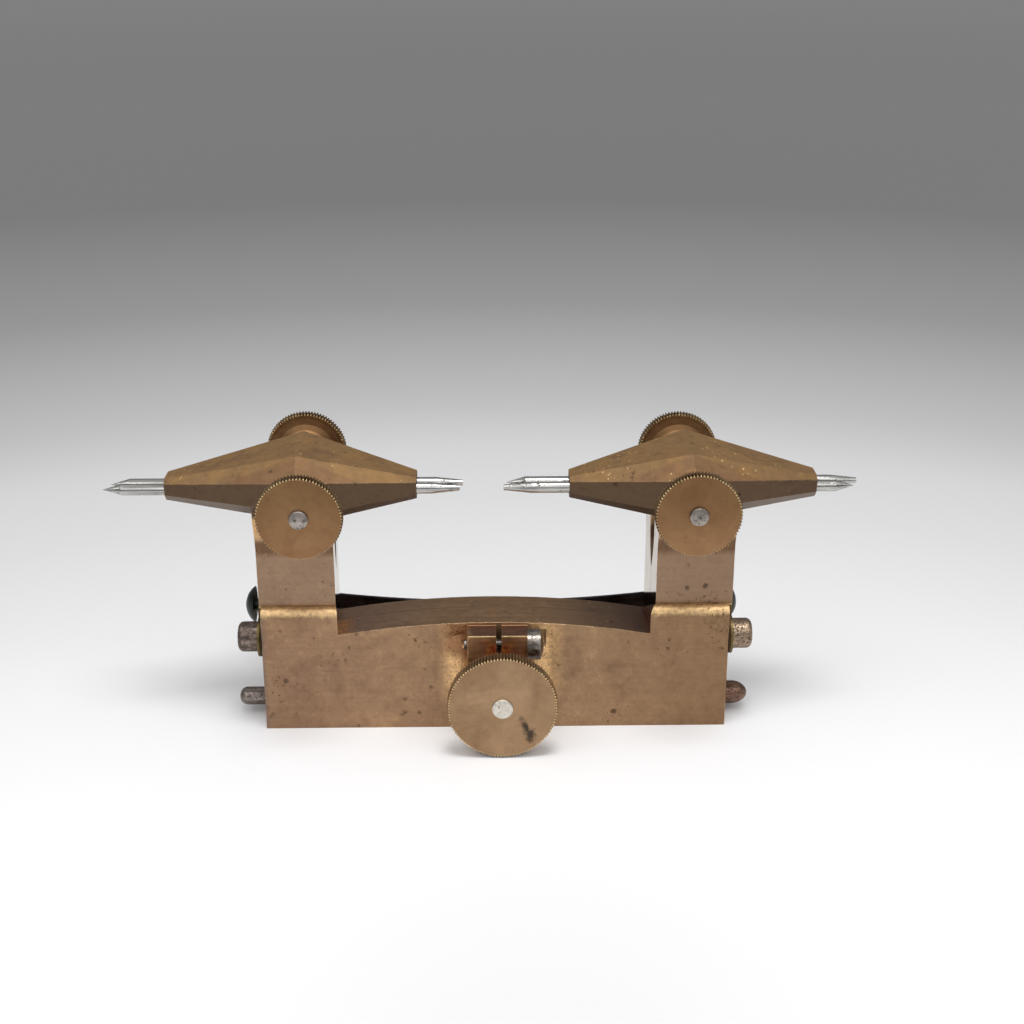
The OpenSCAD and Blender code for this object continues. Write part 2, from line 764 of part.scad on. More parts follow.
module front_left_clamp_screw() { clamp_screw(0); }
module front_right_clamp_screw() { clamp_screw(1); }
module rear_left_clamp_screw() { clamp_screw(2); }
module rear_right_clamp_screw() { clamp_screw(3); }
module front_left_clamp_knob() { clamp_knob(0); }
module front_right_clamp_knob() { clamp_knob(1); }
module rear_left_clamp_knob() { clamp_knob(2); }
module rear_right_clamp_knob() { clamp_knob(3); }
module front_left_clamp_pad() { clamp_pad(0); }
module front_right_clamp_pad() { clamp_pad(1); }
module rear_left_clamp_pad() { clamp_pad(2); }
module rear_right_clamp_pad() { clamp_pad(3); }

front_frame();
rear_frame();
hinge_pin();
adjusting_screw();
adjusting_knob();
adjusting_tip();
thrust_button();
boss_clamp_screw();
left_stay();
right_stay();
stay_cap_screws();
stay_lock_screws();
bow_spring();
spring_button();
front_left_runner();
front_right_runner();
rear_left_runner();
rear_right_runner();
front_left_clamp_screw();
front_right_clamp_screw();
rear_left_clamp_screw();
rear_right_clamp_screw();
front_left_clamp_knob();
front_right_clamp_knob();
rear_left_clamp_knob();
rear_right_clamp_knob();
front_left_clamp_pad();
front_right_clamp_pad();
rear_left_clamp_pad();
rear_right_clamp_pad();
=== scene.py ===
import math
import random

import bpy
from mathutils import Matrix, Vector, noise

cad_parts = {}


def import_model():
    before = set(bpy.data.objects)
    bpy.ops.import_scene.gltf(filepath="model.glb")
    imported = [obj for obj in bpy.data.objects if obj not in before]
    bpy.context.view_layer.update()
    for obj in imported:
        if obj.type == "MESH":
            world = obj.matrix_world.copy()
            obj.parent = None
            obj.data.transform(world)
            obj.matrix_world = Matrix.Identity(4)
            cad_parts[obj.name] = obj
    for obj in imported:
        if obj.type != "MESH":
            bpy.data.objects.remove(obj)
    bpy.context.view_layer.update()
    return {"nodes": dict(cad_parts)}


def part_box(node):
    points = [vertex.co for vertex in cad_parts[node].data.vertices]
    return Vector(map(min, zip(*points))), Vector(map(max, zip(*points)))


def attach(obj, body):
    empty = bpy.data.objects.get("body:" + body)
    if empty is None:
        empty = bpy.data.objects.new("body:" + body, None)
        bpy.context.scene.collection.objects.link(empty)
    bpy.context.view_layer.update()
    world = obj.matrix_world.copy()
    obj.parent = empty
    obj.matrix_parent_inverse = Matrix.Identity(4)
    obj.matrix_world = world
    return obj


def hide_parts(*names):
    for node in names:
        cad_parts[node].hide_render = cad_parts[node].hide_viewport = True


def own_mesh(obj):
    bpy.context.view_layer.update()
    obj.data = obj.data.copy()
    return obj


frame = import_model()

# Places and sizes are in mm unless a comment says otherwise, and MM turns them into metres
MM = 0.001
SIDES = ("front_left", "front_right", "rear_left", "rear_right")

# Places on the frames. PARTING is the plane between them, and FILLETS_X the middle between the fillets
PARTING = 5.25
BAR_FRONT_Y = -5.25
PILLAR_FRONT_Y = BAR_FRONT_Y + 3
LEDGE_Z = 36.6
BOSS_FRONT_Y = BAR_FRONT_Y - 7
BOSS_TOP_Z = 31.7
BOSS_LEFT_X = -7.75
BOSS_SLOT_X = 0.85
FILLETS_X = 1.4
HEAD_PEAK_X = 52.8
# The ridge between a head's upper and lower facets, highest at the peak, and its fall per mm to both sides
RIDGE_Z = 76.55
RIDGE_FALL_IN = 0.152
RIDGE_FALL_OUT = 0.133

# Radii to which edges are rounded in shading: of the frames, stays and pads, and of the other pieces
FRAME_ROUND = 0.2
FINE_ROUND = 0.12
# How far from an edge it is found to be worn
BRASS_WEAR = 0.45
STEEL_WEAR = 0.3

# Noise frequencies along X, Y and Z, per metre, of the brass's brush lines
BRUSHED = (40, 900, 900)
FINELY_BRUSHED = tuple(2.7 * g for g in BRUSHED)


def lin(r, g, b):
    """An sRGB colour from 0 to 255 as Blender's linear RGBA."""
    out = []
    for c in (r, g, b):
        c /= 255
        out.append(c / 12.92 if c <= 0.04045 else ((c + 0.055) / 1.055) ** 2.4)
    return (*out, 1.0)


def grey(value):
    """A linear grey as RGBA."""
    return (value, value, value, 1)


def shade(colour, factor):
    """A colour made darker or lighter by one factor."""
    return tuple(min(1.0, c * factor) for c in colour[:3]) + (1,)


# Colours of the frames' patina, and of the light and shade painted on them
RIGHT_BROWN = lin(124, 96, 70)
LEFT_PINK = lin(150, 118, 98)
CORNER_GREY = lin(134, 116, 104)
HEAD_UPPER = lin(138, 108, 70)
HEAD_TOP = lin(152, 119, 78)
HEAD_GOLD = lin(170, 128, 76)
HEAD_BROWN = lin(118, 88, 64)
HEAD_CHIPS = lin(246, 218, 160)
HEAD_LOWER_SHADE = lin(96, 78, 62)
HEAD_UNDERSIDE_REFLECTION = lin(140, 128, 116)
PILLAR = lin(158, 134, 114)
COVE_SHADE = lin(104, 76, 54)
COVE_HIGHLIGHT = lin(232, 190, 136)
SADDLE = lin(170, 136, 102)
SADDLE_LEFT = lin(170, 138, 120)
SADDLE_RIGHT = lin(108, 84, 74)
SADDLE_ORANGE = lin(222, 156, 98)
SADDLE_RED = lin(118, 62, 48)
SADDLE_SCRATCH = lin(226, 196, 160)
SADDLE_LIP = lin(255, 224, 178)
LEDGE_HIGHLIGHT = lin(226, 192, 142)
LEDGE_CREASE_SHADE = lin(70, 52, 38)
BOSS_FACE = lin(196, 142, 100)
BOSS_TOP = lin(122, 84, 66)
BOSS_EDGE_HIGHLIGHT = lin(255, 228, 172)
SLOT_SHEEN_ORANGE = lin(255, 176, 84)
SLOT_SHEEN_RED = lin(214, 96, 56)
FILLET_HIGHLIGHT = lin(246, 204, 146)
FILLET_SHADE = lin(136, 90, 62)
FILLET_RUST = lin(112, 54, 42)
CHEEK = lin(218, 208, 196)
PIT = lin(52, 38, 30)
SEAM = lin(40, 28, 20)

# Colours of the other pieces' marks, and of the light and shade painted on them
STAY_INNER_DARK = lin(44, 34, 24)
KNOB_PIT = lin(44, 32, 26)
KNOB_CHIP = lin(214, 180, 130)
KNOB_GROOVE_SHADE = lin(84, 62, 42)
KNOB_CREST_GLINT = lin(238, 210, 158)
KNOB_STAIN = lin(60, 54, 48)
STEEL_SPAN_SHADE = lin(52, 48, 46)
STEEL_UPPER_SHADE = lin(96, 88, 84)


def fill_ramp(node, stops):
    """Gives a colour ramp its stops, each a position and a grey value or a colour."""
    elements = node.color_ramp.elements
    while len(elements) > 1:
        elements.remove(elements[-1])
    elements[0].position = stops[0][0]
    for i, (position, tone) in enumerate(stops):
        element = elements.new(position) if i else elements[0]
        element.color = tone if isinstance(tone, tuple) else grey(tone)


class Mat:
    """A node material with short helpers for the masks and colours used below."""

    def __init__(self, name, metallic=1.0, roughness=0.4, **fixed):
        self.material = bpy.data.materials.new(name)
        self.material.use_nodes = True
        self.tree = self.material.node_tree
        self.shader = self.tree.nodes["Principled BSDF"]
        self.shader.inputs["Metallic"].default_value = metallic
        self.shader.inputs["Roughness"].default_value = roughness
        for key, value in fixed.items():
            self.shader.inputs[key.replace("_", " ")].default_value = value
        places = self.tree.nodes.new("ShaderNodeTexCoord").outputs
        self.coord, self.normal = places["Object"], places["Normal"]

    def node(self, kind, inputs=(), **properties):
        """A new node whose inputs are links or fixed values."""
        made = self.tree.nodes.new(kind)
        for key, value in properties.items():
            setattr(made, key, value)
        for socket, value in inputs:
            if isinstance(value, bpy.types.NodeSocket):
                self.tree.links.new(value, made.inputs[socket])
            else:
                made.inputs[socket].default_value = value
        return made

    def scaled(self, scale, vector=None):
        return self.node("ShaderNodeMapping", [("Vector", vector or self.coord), ("Scale", scale)]).outputs[0]

    def turned(self, degrees, vector=None):
        angles = tuple(math.radians(d) for d in degrees)
        return self.node("ShaderNodeMapping", [
            ("Vector", vector or self.coord), ("Rotation", angles)]).outputs[0]

    def away(self, place):
        """The vector from a place to the shaded point."""
        from_place = tuple(c * MM for c in place)
        return self.node("ShaderNodeVectorMath", [(0, self.coord), (1, from_place)],
                         operation="SUBTRACT").outputs[0]

    def length(self, vector):
        return self.node("ShaderNodeVectorMath", [(0, vector)], operation="LENGTH").outputs["Value"]

    def axis(self, name, vector=None):
        return self.node("ShaderNodeSeparateXYZ", [("Vector", vector or self.coord)]).outputs[name]

    def noise(self, scale, detail, rough, vector=None, distort=0.0):
        return self.node("ShaderNodeTexNoise", [
            ("Vector", vector or self.coord), ("Scale", scale), ("Detail", detail),
            ("Roughness", rough), ("Distortion", distort)]).outputs["Fac"]

    def ramp(self, value, stops):
        made = self.node("ShaderNodeValToRGB", [("Fac", value)])
        fill_ramp(made, stops)
        return made.outputs["Color"]

    def math(self, operation, a, b):
        return self.node("ShaderNodeMath", [(0, a), (1, b)], operation=operation).outputs[0]

    def plus(self, a, b):
        return self.math("ADD", a, b)

    def minus(self, a, b):
        return self.math("SUBTRACT", a, b)

    def absolute(self, a):
        return self.math("ABSOLUTE", a, 0.0)

    def times(self, first, *others):
        for other in others:
            first = self.math("MULTIPLY", first, other)
        return first

    def most(self, first, *others):
        for other in others:
            first = self.math("MAXIMUM", first, other)
        return first

    def step(self, value, low, high):
        """0 at low and 1 at high, which may be the lower number, and no less or more beyond them."""
        return self.node("ShaderNodeMapRange", [
            ("Value", value), ("From Min", low), ("From Max", high)], clamp=True).outputs[0]

    def span(self, length, low, high):
        """The same step for a length, with low and high in mm."""
        return self.step(length, low * MM, high * MM)

    def mix(self, share, a, b, blend="MIX"):
        return self.node("ShaderNodeMix", [(0, share), (6, a), (7, b)],
                         data_type="RGBA", blend_type=blend).outputs[2]

    def tinted(self, share, colour, tint):
        """The colour multiplied by a tint, as far as share says."""
        return self.mix(share, colour, self.mix(1.0, colour, tint, "MULTIPLY"))

    def rounded(self, radius):
        return self.node("ShaderNodeBevel", [("Radius", radius * MM)], samples=4).outputs[0]

    def edge(self, radius, low, high):
        """1 at edges and corners, 0 on open faces."""
        true_normal = self.node("ShaderNodeNewGeometry").outputs["Normal"]
        likeness = self.node("ShaderNodeVectorMath", [(0, self.rounded(radius)), (1, true_normal)],
                             operation="DOT_PRODUCT").outputs["Value"]
        return self.step(self.minus(1.0, likeness), low, high)

    def bump(self, height, strength, distance, radius):
        """Bump over edges that are rounded by a radius."""
        made = self.node("ShaderNodeBump", [
            ("Height", height), ("Strength", strength), ("Distance", distance * MM),
            ("Normal", self.rounded(radius))])
        self.tree.links.new(made.outputs[0], self.shader.inputs["Normal"])

    def out(self, **sockets):
        for key, value in sockets.items():
            self.tree.links.new(value, self.shader.inputs[key.replace("_", " ")])
        return self.material


def pits(m, scale, size, keep, patch_scale):
    """Ragged pits of uneven size, only in patches that cover about a share keep of the surface."""
    cells = m.node("ShaderNodeTexVoronoi", [("Vector", m.coord), ("Scale", scale)])
    ragged = m.times(m.minus(m.noise(scale * 4, 3, 0.7), 0.5), 0.4)
    uneven = m.plus(m.axis("X", cells.outputs["Color"]), 0.45)
    spots = m.math("DIVIDE", m.plus(cells.outputs["Distance"], ragged), uneven)
    patch = m.ramp(m.noise(patch_scale, 3, 0.6), [(1 - keep - 0.06, 0.0), (1 - keep + 0.06, 1.0)])
    return m.times(m.step(spots, size, size * 0.55), patch)


def scratches(m, degrees, along, across, keep):
    """Short fine scratches in one direction, from noise that is stretched along them, in patches."""
    stretched = m.scaled((along, across, across), m.turned(degrees))
    lines = m.noise(1.0, 2, 0.5, stretched)
    patch = m.ramp(m.noise(70, 2, 0.5), [(1 - keep - 0.03, 0.0), (1 - keep + 0.05, 1.0)])
    return m.times(m.step(lines, 0.685, 0.72), patch)


def brass(name, dark, light, worn, pit_share=0.45, zones=None):
    """Aged brass: patina clouds, brush lines, dark pits, chips, scratches and rubbed edges.

    zones paints it by place, and gives masks of its polished and matt places, or None and None."""
    m = Mat(name)
    clouds = m.noise(75, 8, 0.7, distort=0.5)
    broad = m.noise(14, 3, 0.5)
    patchy = m.noise(300, 6, 0.74, distort=0.3)
    mottle = m.noise(480, 5, 0.7)
    lines = m.noise(1.0, 3, 0.6, m.scaled(BRUSHED))
    fine_lines = m.noise(1.0, 2, 0.5, m.scaled(FINELY_BRUSHED))

    colour = m.mix(m.ramp(clouds, [(0.3, 0.0), (0.7, 1.0)]), dark, light)
    colour = m.mix(m.ramp(broad, [(0.38, 0.0), (0.68, 0.3)]), colour, worn)
    colour = m.tinted(m.ramp(patchy, [(0.34, 0.55), (0.48, 0.0)]), colour, (0.74, 0.7, 0.68, 1))
    colour = m.mix(m.ramp(patchy, [(0.54, 0.0), (0.7, 0.28)]), colour, worn)
    polished = matt = None
    if zones:
        colour, polished, matt = zones(m, colour)
    colour = m.tinted(m.ramp(mottle, [(0.34, 0.3), (0.56, 0.0)]), colour, (0.55, 0.5, 0.5, 1))
    colour = m.tinted(m.ramp(lines, [(0.3, 0.3), (0.62, 0.0)]), colour, (0.62, 0.58, 0.55, 1))

    # Specks gather at the base bar's upper right end
    gather = m.times(m.span(m.axis("X"), 38, 54), m.span(m.axis("Z"), 14, 26), m.span(m.axis("Z"), 38, 34))
    cluster = m.plus(m.noise(95, 4, 0.65), m.times(gather, 0.14))
    specks = m.times(m.ramp(m.noise(1100, 3, 0.6), [(0.585, 0.0), (0.655, 1.0)]), m.step(cluster, 0.60, 0.66))
    pit = m.most(pits(m, 240, 0.17, pit_share, 90), pits(m, 560, 0.18, pit_share * 0.8, 45), specks)
    chips = m.most(m.times(pits(m, 560, 0.10, 0.36, 60), 0.7),
                   scratches(m, (0, 50, 0), 280, 2300, 0.36),
                   scratches(m, (0, -65, 20), 280, 2100, 0.36))
    rubbed = m.times(m.edge(BRASS_WEAR, 0.03, 0.3), m.ramp(m.noise(300, 4, 0.7), [(0.42, 0.05), (0.62, 0.8)]))
    if polished is not None:
        # The frames' edges along the parting plane aren't rubbed
        from_parting = m.absolute(m.minus(m.axis("Y"), PARTING * MM))
        rubbed = m.times(rubbed, m.minus(1.0, m.span(from_parting, 1.0, 0.6)))
    colour = m.mix(m.times(m.most(rubbed, m.times(chips, 0.8)), 0.75), colour, worn)
    colour = m.mix(m.times(pit, 0.7), colour, PIT)

    roughness = m.ramp(m.plus(m.times(lines, 0.5), m.times(mottle, 0.5)), [(0.35, 0.38), (0.62, 0.52)])
    height = m.plus(m.plus(m.times(fine_lines, 0.4), m.times(mottle, 0.5)), m.times(pit, -1.6))
    if polished is not None:
        seam = m.times(m.span(m.axis("Z"), 40, 38), m.span(from_parting, 0.22, 0.1), 0.8)
        colour = m.mix(seam, colour, SEAM)
        roughness = m.mix(m.times(matt, 0.7), roughness, grey(0.62))
        roughness = m.mix(polished, roughness, grey(0.1))
        height = m.times(height, m.minus(1.0, polished))
        m.out(Metallic=m.minus(1.0, m.times(matt, 0.35)))
    m.bump(height, 0.4, 0.06, FRAME_ROUND)
    return m.out(Base_Color=colour, Roughness=roughness)


class FramePatinaAndPaintedLight:
    """The frames' colour, with patina and with painted light and shade, painted by place and by the way the
    surface faces.
    """

    def __init__(self, m, colour):
        self.m, self.colour = m, colour
        self.x, self.y, self.z = (m.axis(a) for a in "XYZ")
        self.facing_x, self.facing_y, self.facing_z = (m.axis(a, m.normal) for a in "XYZ")
        self.aside = m.absolute(self.x)
        self.rag = m.times(m.minus(m.noise(350, 4, 0.7), 0.5), 2.4 * MM)
        self.fleck = m.ramp(m.noise(900, 3, 0.7), [(0.4, 0.0), (0.6, 1.0)])

    def paint(self, tone, share, *masks):
        """Covers a share of the colour with a tone where all the masks are 1."""
        self.colour = self.m.mix(self.m.times(*masks, share), self.colour, tone)

    def ragged(self, length, amount=1.0):
        """A coordinate made uneven, so that a mask from it has a ragged border."""
        return self.m.plus(length, self.m.times(self.rag, amount))

    def flecked(self, share):
        """Flecks that take away a share of a mask."""
        return self.m.plus(self.m.times(self.fleck, share), 1 - share)

    def bar(self):
        """Browner to the right end, pinker to the left of the base bar, greyer at its left end's corner."""
        span = self.m.span
        self.paint(RIGHT_BROWN, 0.55, span(self.ragged(self.x, 6), 20, 60))
        self.paint(LEFT_PINK, 0.3, span(self.x, -20, -64), span(self.z, 34, 22))
        self.paint(CORNER_GREY, 0.6, span(self.x, -63.8, -64.6), span(self.z, 38, 36))

    def heads(self):
        """Olive-gold facets with bright chips above the ridge, and below it facets darkened with painted
        shade, whose downward-facing outer ends are pale with a painted reflection of the floor.
        """
        m, span = self.m, self.m.span
        head = span(self.z, 62.5, 64)
        inward = m.most(m.minus(HEAD_PEAK_X * MM, self.aside), 0.0)
        outward = m.most(m.minus(self.aside, HEAD_PEAK_X * MM), 0.0)
        fall = m.plus(m.times(inward, RIDGE_FALL_IN), m.times(outward, RIDGE_FALL_OUT))
        over_ridge = m.plus(m.minus(self.z, RIDGE_Z * MM), fall)
        upper = m.times(head, span(over_ridge, -0.1, 0.1))
        self.paint(HEAD_UPPER, 0.85, upper)
        self.paint(HEAD_TOP, 0.85, head, m.step(self.facing_z, 0.86, 0.9))
        self.paint(HEAD_GOLD, 0.36, upper, m.ramp(m.noise(140, 5, 0.66), [(0.46, 0.0), (0.6, 1.0)]))
        self.paint(HEAD_BROWN, 0.5, upper, m.ramp(m.noise(105, 6, 0.7), [(0.36, 1.0), (0.47, 0.0)]))
        self.paint(HEAD_CHIPS, 0.85, head, pits(m, 640, 0.17, 0.45, 70))
        # Painted shade on the facets below the ridge
        self.paint(HEAD_LOWER_SHADE, 0.94, head, span(over_ridge, 0.1, -0.1))
        # Painted reflection of the pale floor on the downward-facing outer ends
        self.paint(HEAD_UNDERSIDE_REFLECTION, 0.6, head, m.step(self.facing_z, -0.4, -0.55), span(self.aside, 62, 70))
        return upper

    def pillars(self):
        """Greyer pillars, and coves below the heads with a painted golden highlight above a band of painted
        shade.
        """
        m, span = self.m, self.m.span
        self.paint(PILLAR, 0.6, span(self.z, 37, 38), span(self.z, 60, 55))
        sideways = m.absolute(self.facing_x)
        cove = m.times(span(self.z, 51, 53), span(self.z, 64.5, 63.5), m.step(sideways, 0.5, 0.4))
        # Painted shade in a band below the cove's highlight
        self.paint(COVE_SHADE, 0.75, cove, span(self.z, 57, 55.5))
        # Painted golden highlight where the cove turns down to face the floor
        self.paint(COVE_HIGHLIGHT, 0.8, cove, span(self.z, 56, 58.5))

    def saddle(self):
        """A dark scratched saddle, orange at its left end and red at its right, with a bright front lip."""
        m, span = self.m, self.m.span
        low = m.times(span(self.z, 34.6, 34.2), span(self.y, BAR_FRONT_Y - 0.35, BAR_FRONT_Y - 0.05))
        top = m.times(low, m.step(self.facing_z, 0.7, 0.9))
        self.paint(SADDLE, 0.85, top)
        self.paint(SADDLE_LEFT, 0.75, top, span(self.x, -14, -38))
        self.paint(SADDLE_RIGHT, 0.9, top, span(self.x, 14, 40))
        left_end = span(self.ragged(self.x), -39.4, -41.4)
        self.paint(SADDLE_ORANGE, 0.95, top, left_end, span(self.y, 6, 3), self.flecked(0.7))
        self.paint(SADDLE_RED, 0.8, top, span(self.ragged(self.x), 41.6, 43))
        marks = m.most(scratches(m, (0, 0, 40), 300, 2400, 0.5), scratches(m, (0, 0, -55), 300, 2400, 0.45))
        self.paint(SADDLE_SCRATCH, 0.8, top, marks)
        lip = m.times(low, span(self.y, BAR_FRONT_Y + 0.55, BAR_FRONT_Y + 0.3),
                      m.step(self.facing_z, 0.5, 0.8))
        broken = m.ramp(m.noise(260, 4, 0.7), [(0.44, 0.15), (0.58, 1.0)])
        self.paint(SADDLE_LIP, 0.8, lip, broken, span(self.x, 46, 30))

    def ledge(self):
        """A painted golden highlight, flecked, on the ledge's rounded edge, and painted shade in the crease
        where the pillar meets it.
        """
        m, span = self.m, self.m.span
        edge = m.times(span(self.ragged(self.z), LEDGE_Z - 2.7, LEDGE_Z - 1.9),
                       span(self.z, LEDGE_Z + 0.3, LEDGE_Z),
                       span(self.y, PILLAR_FRONT_Y + 0.15, PILLAR_FRONT_Y - 0.05))
        # Painted golden highlight on the rounded edge, broken by flecks
        self.paint(LEDGE_HIGHLIGHT, 0.9, edge, self.flecked(0.6))
        # Painted shade in the crease at the pillar's foot
        line = m.times(span(self.z, LEDGE_Z - 0.1, LEDGE_Z), span(self.z, LEDGE_Z + 0.35, LEDGE_Z + 0.2))
        self.paint(LEDGE_CREASE_SHADE, 0.6, line, span(self.y, PILLAR_FRONT_Y - 0.35, PILLAR_FRONT_Y - 0.15))

    def boss(self):
        """A reddish boss: painted highlights on its front edges, a dark top, and a painted orange and red
        sheen about the slot.
        """
        m, span = self.m, self.m.span
        face = m.times(span(self.y, BOSS_FRONT_Y + 0.65, BOSS_FRONT_Y + 0.25),
                       m.step(self.facing_y, -0.8, -0.9))
        self.paint(BOSS_FACE, 0.9, face, m.ramp(m.noise(120, 3, 0.5), [(0.3, 0.6), (0.7, 1.0)]))
        self.paint(BOSS_TOP, 0.85, span(self.y, BAR_FRONT_Y - 0.05, BAR_FRONT_Y - 0.25),
                   span(self.z, BOSS_TOP_Z - 0.4, BOSS_TOP_Z - 0.2), m.step(self.facing_z, 0.7, 0.9))
        # Painted highlights along the upper and left front edges
        upper_edge = span(self.z, BOSS_TOP_Z - 0.4, BOSS_TOP_Z - 0.3)
        left_edge = m.times(span(self.x, BOSS_LEFT_X + 0.35, BOSS_LEFT_X + 0.25), span(self.z, 22, 24))
        self.paint(BOSS_EDGE_HIGHLIGHT, 0.8, m.most(upper_edge, left_edge),
                   span(self.y, BOSS_FRONT_Y + 0.35, BOSS_FRONT_Y + 0.25),
                   span(self.z, BOSS_TOP_Z + 0.3, BOSS_TOP_Z + 0.1),
                   span(self.x, BOSS_LEFT_X - 0.35, BOSS_LEFT_X - 0.25))
        # Painted orange sheen about the slot, spotted red
        from_slot = m.absolute(m.minus(self.x, BOSS_SLOT_X * MM))
        glow = m.times(face, span(self.ragged(from_slot, 3.0), 4.4, 2.6), span(self.ragged(self.z), 24.4, 26),
                       span(self.ragged(self.z, 2.2), 30.2, 27.8))
        spotted = m.ramp(m.noise(800, 3, 0.6), [(0.42, 0.0), (0.6, 1.0)])
        self.paint(m.mix(spotted, SLOT_SHEEN_ORANGE, SLOT_SHEEN_RED), 0.85, glow)

    def fillets(self):
        """Cast fillets beside the boss, with a painted golden highlight, painted shade at their upper left,
        and specks of rust.
        """
        m, span = self.m, self.m.span
        outward = self.ragged(m.absolute(m.minus(self.x, FILLETS_X * MM)), 1.4)
        fillet = m.times(span(self.y, BAR_FRONT_Y + 0.25, BAR_FRONT_Y + 0.05), span(outward, 8, 9.4),
                         span(outward, 18, 13.4), span(self.z, 7, 14), m.step(self.facing_y, 0.2, 0.0),
                         span(self.z, BOSS_TOP_Z + 0.7, BOSS_TOP_Z + 0.1))
        # Painted golden highlight on the concave fillets
        self.paint(FILLET_HIGHLIGHT, 0.9, fillet, self.flecked(0.55))
        # Painted shade at the fillets' upper left
        self.paint(FILLET_SHADE, 0.75, fillet, span(self.ragged(self.z), 21.6, 24.4),
                   span(self.ragged(self.x), -4, -7))
        self.paint(FILLET_RUST, 0.8, fillet, m.ramp(m.noise(1500, 2, 0.6), [(0.60, 0.0), (0.68, 1.0)]))

    def cheeks(self):
        """The uprights' polished inner sides."""
        m, span = self.m, self.m.span
        cheek = m.times(m.step(m.absolute(self.facing_x), 0.93, 0.98), span(self.aside, 46.6, 46),
                        span(self.z, 29, 29.4), span(self.z, 66.5, 66))
        self.paint(CHEEK, 0.92, cheek)
        return cheek


def frame_zones(m, colour):
    """The frames' patina and painted light and shade, their polished inner sides, and the heads' upper
    facets, which are matt.
    """
    patina = FramePatinaAndPaintedLight(m, colour)
    patina.bar()
    matt = patina.heads()
    patina.pillars()
    patina.saddle()
    patina.ledge()
    patina.boss()
    patina.fillets()
    polished = patina.cheeks()
    return patina.colour, polished, matt


def stay_zones(m, colour):
    """Darker on the stays' inner sides, towards the frames."""
    inner = m.times(m.span(m.absolute(m.axis("X")), 65.75, 65.55), 0.9)
    return m.mix(inner, colour, STAY_INNER_DARK), None, None


def middle(node):
    """The x and z of a CAD node's middle."""
    low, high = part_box(node)
    return (low.x + high.x) / 2 / MM, (low.z + high.z) / 2 / MM


def half_width(node):
    """Half of a CAD node's length along X, which is a knob's radius."""
    low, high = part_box(node)
    return (high.x - low.x) / 2 / MM


def knob_brass(name, node, dark, light, low_painted_light=0.0, low_glint=1.0, stain=()):
    """Turned brass: fine rings about the axis, painted glints on the crests, and painted shade between the
    teeth.

    Its lower part is lightened by a given share as painted light, and there the crests' painted glints keep a
    given share of their brightness. stain is a list of ovals, each with its middle's x and z and its half
    width and height."""
    m = Mat(name)
    x, z = middle(node)
    radius = half_width(node)
    moved = m.away((x, 0.0, z))
    height = m.axis("Z", moved)
    r = m.length(m.scaled((1.0, 0.0, 1.0), moved))
    rings = m.noise(1.0, 2, 0.5, m.node("ShaderNodeCombineXYZ", [("X", m.times(r, 2600))]).outputs[0])
    clouds = m.noise(80, 7, 0.66, distort=0.6)
    mottle = m.noise(500, 4, 0.7)

    colour = m.mix(m.ramp(clouds, [(0.32, 0.0), (0.7, 1.0)]), dark, light)
    # Painted light from the floor, lightening the lower part
    painted_light_tint = (1 + low_painted_light, 1 + low_painted_light, 1 + low_painted_light * 1.2, 1)
    colour = m.tinted(m.span(height, radius * 0.5, -radius), colour, painted_light_tint)
    colour = m.tinted(m.ramp(rings, [(0.35, 0.2), (0.6, 0.0)]), colour, (0.7, 0.66, 0.62, 1))
    colour = m.tinted(m.ramp(mottle, [(0.34, 0.3), (0.56, 0.0)]), colour, (0.6, 0.55, 0.55, 1))
    colour = m.mix(m.times(pits(m, 420, 0.13, 0.34, 80), 0.75), colour, KNOB_PIT)
    colour = m.mix(m.times(pits(m, 600, 0.10, 0.3, 70), 0.6), colour, KNOB_CHIP)

    rim = m.step(m.absolute(m.axis("Y", m.normal)), 0.85, 0.6)
    # Painted shade on the tooth flanks between the crests
    groove = m.times(rim, m.span(r, radius - 1.0, radius - 0.9), m.span(r, radius - 0.12, radius - 0.4))
    colour = m.mix(m.times(groove, 0.6), colour, KNOB_GROOVE_SHADE)
    # Painted glints on the crests, made fainter low down where asked
    crest = m.times(m.span(r, radius - 0.62, radius - 0.4), m.ramp(mottle, [(0.4, 0.4), (0.55, 0.95)]))
    crest = m.times(crest, m.minus(1.0, m.times(rim, 0.75)))
    if low_glint < 1.0:
        upper = m.span(height, -0.35 * radius, 0.45 * radius)
        crest = m.times(crest, m.plus(m.times(upper, 1 - low_glint), low_glint))
    colour = m.mix(crest, colour, KNOB_CREST_GLINT)
    if stain:
        cloud = m.times(m.noise(520, 5, 0.7), 2.6)
        spots = []
        for oval_x, oval_z, half_wide, half_high in stain:
            leaning = m.turned((0, 27, 0), m.away((oval_x, 0.0, oval_z)))
            oval = m.length(m.scaled((1 / (half_wide * MM), 0.0, 1 / (half_high * MM)), leaning))
            spots.append(m.step(m.plus(oval, cloud), 2.5, 1.7))
        front = m.step(m.axis("Y", m.normal), -0.7, -0.9)
        colour = m.mix(m.times(m.most(*spots), front, 0.9), colour, KNOB_STAIN)

    roughness = m.ramp(m.plus(m.times(rings, 0.4), m.times(mottle, 0.6)), [(0.35, 0.4), (0.62, 0.54)])
    m.bump(m.plus(m.times(rings, 0.5), m.times(mottle, 0.6)), 0.3, 0.04, FINE_ROUND)
    return m.out(Base_Color=colour, Roughness=roughness)


